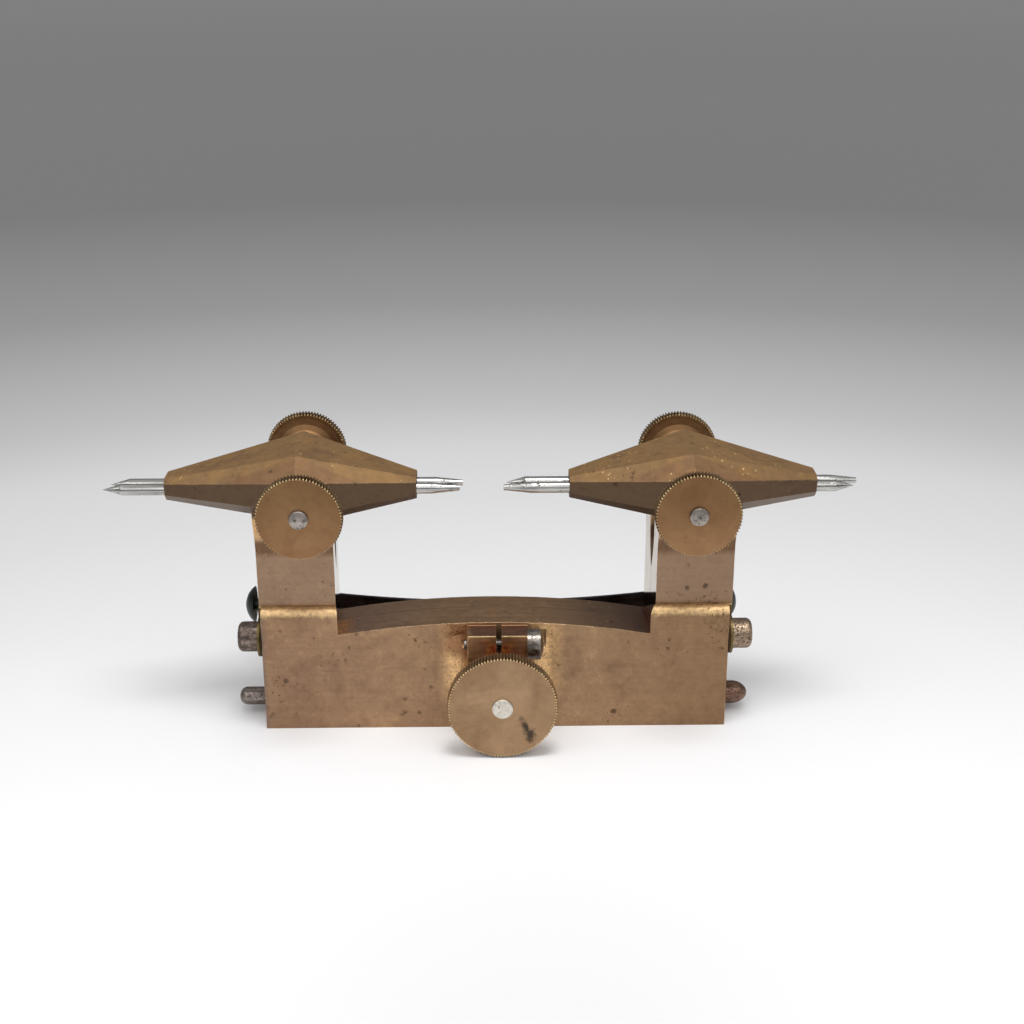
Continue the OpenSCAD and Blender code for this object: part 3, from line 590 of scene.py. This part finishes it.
def steel(name, dark, light, rust, rough, grain, blotch, scale, right=None, shade_above_z=None, shaded_span=None):
    """Steel with grinding lines, rusty blotches and bright edges.

    right is its tone at the part's right end. Above a given height it is painted darker as shade, and along a
    given stretch of X it is painted nearly black as shade."""
    m = Mat(name)
    lines = m.noise(1.0, 3, 0.6, m.scaled(grain))
    clouds = m.noise(160, 5, 0.6)
    ground = m.ramp(lines, [(0.3, 0.0), (0.7, 1.0)])
    colour = m.mix(ground, dark, light)
    if right:
        colour = m.mix(m.span(m.axis("X"), 0, 10), colour, m.mix(ground, shade(right, 0.5), right))
    colour = m.tinted(m.ramp(clouds, [(0.4, 0.3), (0.65, 0.0)]), colour, (0.55, 0.52, 0.5, 1))
    # Painted shade, nearly black, along the stretch of shank that lies in the boss's slot
    if shaded_span:
        low, high = shaded_span
        inside = m.times(m.span(m.axis("X"), low - 0.3, low), m.span(m.axis("X"), high + 0.1, high))
        colour = m.mix(m.times(inside, 0.85), colour, STEEL_SPAN_SHADE)
    # Painted shade on the upper part, above a given height
    if shade_above_z:
        uneven = m.plus(m.axis("Z"), m.times(clouds, 2 * MM))
        colour = m.mix(m.times(m.span(uneven, shade_above_z + 0.6, shade_above_z + 2), 0.55), colour, STEEL_UPPER_SHADE)

    start = 0.62 - 0.24 * blotch
    mask = m.ramp(m.noise(scale, 6, 0.7, distort=0.5), [(start, 0.0), (start + 0.08, 1.0)])
    tone = m.mix(m.ramp(m.noise(scale * 2.2, 3, 0.6), [(0.4, 0.0), (0.62, 1.0)]), rust, shade(rust, 0.3))
    colour = m.mix(mask, colour, tone)
    colour = m.mix(m.times(m.edge(STEEL_WEAR, 0.02, 0.3), 0.45), colour, shade(light, 1.25))
    smooth, dull = rough
    roughness = m.mix(mask, m.ramp(lines, [(0.3, smooth), (0.7, dull)]), grey(0.7))
    m.bump(m.plus(m.times(lines, 0.3), mask), 0.3, 0.05, FINE_ROUND)
    return m.out(Base_Color=colour, Roughness=roughness, Metallic=m.mix(mask, grey(1), grey(0.3)))


def dress(material, *nodes):
    """Gives CAD nodes a material."""
    for n in nodes:
        o = frame["nodes"][n]
        o.data.materials.clear()
        o.data.materials.append(material)


frame_brass = brass("aged_brass", lin(142, 113, 90), lin(172, 140, 110), lin(226, 188, 138),
                    zones=frame_zones)
sheet_brass = brass("stay_brass", lin(92, 80, 52), lin(124, 106, 70), lin(176, 150, 100), pit_share=0.55,
                    zones=stay_zones)
pad_brass = brass("pad_brass", lin(150, 120, 80), lin(190, 156, 106), lin(222, 186, 138))
adjusting_brass = knob_brass("adjusting_knob_brass", "adjusting_knob", lin(150, 121, 92), lin(180, 149, 116),
                             stain=((8.1, 9.5, 0.95, 3.0), (9.2, 7.2, 1.8, 2.4)))

# Each grain is the noise frequency of the grinding lines along X, Y and Z, per metre
runner_steel = steel("runner_steel", lin(136, 135, 132), lin(214, 213, 210), lin(86, 74, 62),
                     rough=(0.1, 0.22), grain=(60, 1800, 1800), blotch=0.12, scale=700)
clamp_steel = [steel(s + "_screw_steel", lin(140, 134, 128), lin(196, 188, 178), lin(110, 98, 90),
                     rough=(0.3, 0.5), grain=(700, 700, 700), blotch=0.35, scale=800,
                     shade_above_z=middle(s + "_clamp_screw")[1]) for s in SIDES]
adjust_steel = steel("adjusting_screw_steel", lin(206, 200, 188), lin(238, 233, 222), lin(140, 128, 112),
                     rough=(0.35, 0.5), grain=(700, 700, 700), blotch=0.1, scale=700)
worn_steel = steel("worn_steel", lin(84, 78, 74), lin(158, 150, 142), lin(92, 74, 62),
                   rough=(0.2, 0.36), grain=(300, 900, 900), blotch=0.28, scale=1300, shaded_span=(-5.0, 8.3))
pin_steel = steel("pin_steel", lin(84, 75, 70), lin(168, 156, 148), lin(84, 68, 60),
                  rough=(0.18, 0.34), grain=(200, 900, 900), blotch=0.5, scale=2000, right=lin(150, 116, 98))
cap_steel = steel("cap_screw_steel", lin(64, 56, 52), lin(160, 144, 134), lin(84, 62, 52),
                  rough=(0.28, 0.5), grain=(400, 700, 700), blotch=0.52, scale=2200, right=lin(196, 172, 146))
black_steel = steel("black_steel", lin(34, 40, 36), lin(66, 74, 66), lin(60, 50, 38),
                    rough=(0.3, 0.45), grain=(500, 500, 500), blotch=0.15, scale=600)
blue_steel = steel("blued_spring", lin(62, 56, 58), lin(92, 85, 88), lin(44, 34, 28),
                   rough=(0.3, 0.45), grain=(30, 700, 700), blotch=0.15, scale=300)

dress(frame_brass, "front_frame", "rear_frame")
dress(sheet_brass, "left_stay", "right_stay")
dress(pad_brass, *[s + "_clamp_pad" for s in SIDES])
dress(runner_steel, *[s + "_runner" for s in SIDES])
dress(worn_steel, "boss_clamp_screw", "adjusting_tip", "thrust_button", "spring_button")
dress(pin_steel, "hinge_pin")
dress(cap_steel, "stay_cap_screws")
dress(black_steel, "stay_lock_screws")
dress(adjusting_brass, "adjusting_knob")
for s in SIDES:
    dress(knob_brass(s + "_knob_brass", s + "_clamp_knob", lin(126, 94, 64), lin(144, 112, 78),
                     low_painted_light=0.4, low_glint=0.25), s + "_clamp_knob")

# Edges that bend by more than this many degrees stay sharp
SHARP_FROM = 32


def mesh_piece(name, verts, faces, material, body):
    """A smooth mesh piece that rides on a CAD body."""
    me = bpy.data.meshes.new(name)
    me.from_pydata([tuple(c * MM for c in v) for v in verts], [], faces)
    me.validate()
    me.update()
    o = bpy.data.objects.new(name, me)
    bpy.context.scene.collection.objects.link(o)
    me.materials.append(material)
    me.shade_smooth()
    me.set_sharp_from_angle(angle=math.radians(SHARP_FROM))
    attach(o, body)
    return o


def skin(rows, around):
    """Quads between rows of points, each row going round once."""
    faces = []
    for j in range(rows - 1):
        for i in range(around):
            k = (i + 1) % around
            faces.append((j * around + i, j * around + k, (j + 1) * around + k, (j + 1) * around + i))
    return faces


# Points round each screw, rows of points in one turn of its thread, and the thread's depth by its pitch
SCREW_SIDES = 40
TURN_ROWS = 8
THREAD_DEPTH = 0.54
# Length and inset of the chamfer at a screw's inner end
CHAMFER_LEN = 0.3
CHAMFER_IN = 0.25
# Shares of the pitch that the thread's flat root and its two flanks take
ROOT_FLAT = 0.08
FLANKS = 0.8
# The rounded rim of a screw's peened end: how far before the end, how much smaller, and how uneven it is
PEENED = ((0.24, 0.02, 0.05), (0.08, 0.22, 0.13))
# Rings of points across the end, as shares of its radius
CROWN = (0.72, 0.46, 0.2)


def thread_rows(start, thread_to, radius, pitch):
    """Rows of a chamfered end and a helical thread, each with its place along the axis and its radii."""
    root = radius - THREAD_DEPTH * pitch
    rows = [(start, [root - CHAMFER_IN] * SCREW_SIDES)]
    y = start + CHAMFER_LEN
    while y < thread_to:
        row = []
        for i in range(SCREW_SIDES):
            phase = (y / pitch - i / SCREW_SIDES) % 1.0
            tooth = 1 - abs(2 * phase - 1)
            row.append(root + (radius - root) * min(1.0, max(0.0, (tooth - ROOT_FLAT) / FLANKS)))
        rows.append((y, row))
        y += pitch / TURN_ROWS
    return rows


def shank_rows(thread_to, end, radius, seed, ragged):
    """Rows of a plain shank and its peened outer end, whose rim is uneven."""
    rng = random.Random(seed)
    wobble = [rng.uniform(-1, 1) for _ in range(9)]

    def rim(i, amount):
        a = 2 * math.pi * i / SCREW_SIDES
        waves = sum(wobble[k] * math.sin((k + 2) * a + wobble[(k + 4) % 9] * 3) for k in range(5)) / 5
        return amount * waves * ragged

    around = range(SCREW_SIDES)
    rows = [(thread_to + 0.1, [radius] * SCREW_SIDES), (end - 0.42, [radius] * SCREW_SIDES)]
    for before_end, less, uneven in PEENED:
        rows.append((end - before_end, [radius - less + rim(i, uneven) for i in around]))
    for share in CROWN:
        y = end - 0.03 + 0.05 * (1 - share)
        rows.append((y, [(radius - 0.2) * share + rim(i, 0.05 * share) for i in around]))
    return rows


def threaded_screw(name, node, body, material, side, start, thread_to, end, radius, pitch, seed, ragged=1.0):
    """A screw along Y, to the front with side -1 and to the rear with side 1.

    start, thread_to and end are distances from the parting plane."""
    x, z = middle(node)
    rows = thread_rows(start, thread_to, radius, pitch) + shank_rows(thread_to, end, radius, seed, ragged)
    verts = []
    for y, row in rows:
        for i, r in enumerate(row):
            a = 2 * math.pi * i / SCREW_SIDES
            across, up = r * math.cos(a), r * math.sin(a)
            dent = 0.0
            if y > end - 0.07:
                dent = 0.07 * noise.noise(Vector((across * 0.9 + seed, up * 0.9, 0.3)))
            verts.append((x + across, PARTING + side * (y + dent), z + up))
    faces = skin(len(rows), SCREW_SIDES)
    inner, outer = len(verts), len(verts) + 1
    verts.append((x, PARTING + side * start, z))
    verts.append((x, PARTING + side * (end + 0.02), z))
    last = (len(rows) - 1) * SCREW_SIDES
    for i in range(SCREW_SIDES):
        k = (i + 1) % SCREW_SIDES
        faces.append((inner, k, i))
        faces.append((outer, last + i, last + k))
    if side > 0:
        faces = [f[::-1] for f in faces]
    o = mesh_piece(name, verts, faces, material, body)
    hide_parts(node)


for i, s in enumerate(SIDES):
    threaded_screw(s + "_clamp_thread", s + "_clamp_screw", s + "_clamp", clamp_steel[i],
                   side=-1 if s.startswith("front") else 1, start=5.78, thread_to=21.0, end=28.83,
                   radius=2.5, pitch=0.7, seed=11 + i)
threaded_screw("adjusting_thread", "adjusting_screw", "adjuster", adjust_steel,
               side=-1, start=1.7, thread_to=24.2, end=29.18, radius=2.85, pitch=1.0, seed=31, ragged=1.9)

# The bow spring's leaf: its bow, thickness, corner, and the heights of the leaf and of its narrower end tabs
LEAF_MIDDLE_Y = 9.35
LEAF_BOW = 0.00284
LEAF_THICK = 0.8
LEAF_CORNER = 0.18
LEAF_HEIGHTS = (20.2, 30.3)
TAB_HEIGHTS = (22.0, 28.8)
TAB_FROM_X = 65
TAB_TIP_X = 67.9
TAB_TIP_IN = 0.3
# Where the leaf is cut along X beyond its even cuts, which are 2 mm apart from -62 to 62
END_CUTS = (64.3, 64.9, 65.2, 66.6, 67.7, 68)
EVEN_CUTS = range(-62, 63, 2)


def leaf_y(x):
    """The leaf's place behind the parting plane."""
    return LEAF_MIDDLE_Y + LEAF_BOW * x * x


def leaf_section(low, high):
    """The leaf's outline with its corners cut, as places across its thickness and heights."""
    half, c = LEAF_THICK / 2, LEAF_CORNER
    return [(-half, low + c), (-half + c, low), (half - c, low), (half, low + c),
            (half, high - c), (half - c, high), (-half + c, high), (-half, high - c)]


def bow_spring():
    """Blued leaf spring with rounded edges, whose end tabs pass through the stays."""
    rows = []
    for x in [-c for c in reversed(END_CUTS)] + list(EVEN_CUTS) + list(END_CUTS):
        low, high = TAB_HEIGHTS if abs(x) > TAB_FROM_X else LEAF_HEIGHTS
        if abs(x) > TAB_TIP_X:
            low, high = low + TAB_TIP_IN, high - TAB_TIP_IN
        slope = 2 * LEAF_BOW * x
        n = math.hypot(1, slope)
        nx, ny = -slope / n, 1 / n
        y = leaf_y(x) + PARTING
        rows.append([(x + nx * d, y + ny * d, z) for d, z in leaf_section(low, high)])
    verts = [p for row in rows for p in row]
    around = len(rows[0])
    faces = [(a, d, c, b) for a, b, c, d in skin(len(rows), around)]
    faces.append(tuple(range(around)))
    faces.append(tuple(range(len(verts) - 1, len(verts) - around - 1, -1)))
    o = mesh_piece("bow_spring_leaf", verts, faces, blue_steel, "base")
    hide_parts("bow_spring")
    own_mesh(o)


bow_spring()

# Half of the floor's length, and how far it lies below the part, in metres
FLOOR_HALF = 12.0
FLOOR_DROP = 0.00005
# Reflectance of the floor at growing distance: half the square root of the metres from FLOOR_NEAR
FLOOR = ((0.05, 0.80), (0.08, 0.79), (0.12, 0.82), (0.163, 0.88), (0.2, 0.87), (0.241, 0.81), (0.263, 0.74),
         (0.286, 0.68), (0.311, 0.64), (0.338, 0.515), (0.404, 0.335), (0.495, 0.255), (0.635, 0.315),
         (0.905, 0.38))
FLOOR_NEAR = (10, -150, 0)
FLOOR_BLUE = 1.01


def floor():
    """A plain pale sheet that is darker towards the back."""
    me = bpy.data.meshes.new("floor")
    corners = ((-1, -1), (1, -1), (1, 1), (-1, 1))
    me.from_pydata([(x * FLOOR_HALF, y * FLOOR_HALF, -FLOOR_DROP) for x, y in corners], [], [(0, 1, 2, 3)])
    o = bpy.data.objects.new("floor", me)
    bpy.context.scene.collection.objects.link(o)
    m = Mat("floor_paper", metallic=0.0, roughness=0.9, Specular_IOR_Level=0.1)
    distance = m.times(m.math("POWER", m.length(m.away(FLOOR_NEAR)), 0.5), 0.5)
    tone = m.ramp(distance, [(p, (v, v, v * FLOOR_BLUE, 1)) for p, v in FLOOR])
    me.materials.append(m.out(Base_Color=tone))


# Each lamp's name, place, aim, width and height in metres, and power in watts
LAMPS = (
    ("overhead", (0.06, -0.25, 1.1), (0, 0, 0.02), (0.35, 0.35), 5.4),
    ("front", (0.1, -1.1, 0.95), (0, 0, 0.04), (1.8, 0.9), 4.3),
    ("right", (0.85, -0.5, 0.95), (0, 0, 0.04), (0.6, 0.6), 1.2),
    ("left", (-0.8, -0.5, 1.0), (0, 0, 0.04), (0.7, 0.7), 2.2),
)


def area_lamp(name, place, aim, size, power):
    light = bpy.data.lights.new(name, "AREA")
    light.shape = "RECTANGLE"
    light.size, light.size_y = size
    light.energy = power
    o = bpy.data.objects.new(name, light)
    bpy.context.scene.collection.objects.link(o)
    o.location = place
    o.rotation_euler = (Vector(aim) - Vector(place)).to_track_quat("-Z", "Y").to_euler()


# The surroundings' tones by how far up a direction points, and their strength in front and behind
WORLD_TONES = ((0.0, (0.2, 0.2, 0.205, 1)), (0.35, grey(0.3)), (0.85, grey(0.62)))
WORLD_FRONT = 1.6
WORLD_BEHIND = 0.6


def world():
    """Studio surroundings: pale above and in front, darker behind the object and at the horizon."""
    w = bpy.data.worlds.new("studio")
    bpy.context.scene.world = w
    w.use_nodes = True
    nodes, links = w.node_tree.nodes, w.node_tree.links
    background = nodes["Background"]
    coord = nodes.new("ShaderNodeTexCoord")
    axes = nodes.new("ShaderNodeSeparateXYZ")
    links.new(coord.outputs["Generated"], axes.inputs[0])
    ramp = nodes.new("ShaderNodeValToRGB")
    fill_ramp(ramp, WORLD_TONES)
    links.new(axes.outputs["Z"], ramp.inputs["Fac"])
    strength = nodes.new("ShaderNodeMapRange")
    reach = {"From Min": -1.0, "From Max": 1.0, "To Min": WORLD_FRONT, "To Max": WORLD_BEHIND}
    for key, value in reach.items():
        strength.inputs[key].default_value = value
    links.new(axes.outputs["Y"], strength.inputs["Value"])
    links.new(ramp.outputs["Color"], background.inputs["Color"])
    links.new(strength.outputs[0], background.inputs["Strength"])


# The camera's place, its angle below the horizon and to the right of straight back in degrees, and its lens
CAMERA_PLACE = (-2.37, -405.43, 220.97)
CAMERA_DOWN = 21.24
CAMERA_RIGHT = 0.99
LENS = 55.98
SENSOR = 36.0


def camera():
    """The photograph's view."""
    data = bpy.data.cameras.new("camera")
    data.lens = LENS
    data.sensor_width = SENSOR
    data.clip_start = 0.01
    data.clip_end = 50
    o = bpy.data.objects.new("camera", data)
    bpy.context.scene.collection.objects.link(o)
    o.location = tuple(c * MM for c in CAMERA_PLACE)
    o.rotation_euler = (math.radians(90 - CAMERA_DOWN), 0, math.radians(-CAMERA_RIGHT))
    bpy.context.scene.camera = o


floor()
world()
camera()
for lamp in LAMPS:
    area_lamp(*lamp)
bpy.context.scene.view_settings.view_transform = "Standard"
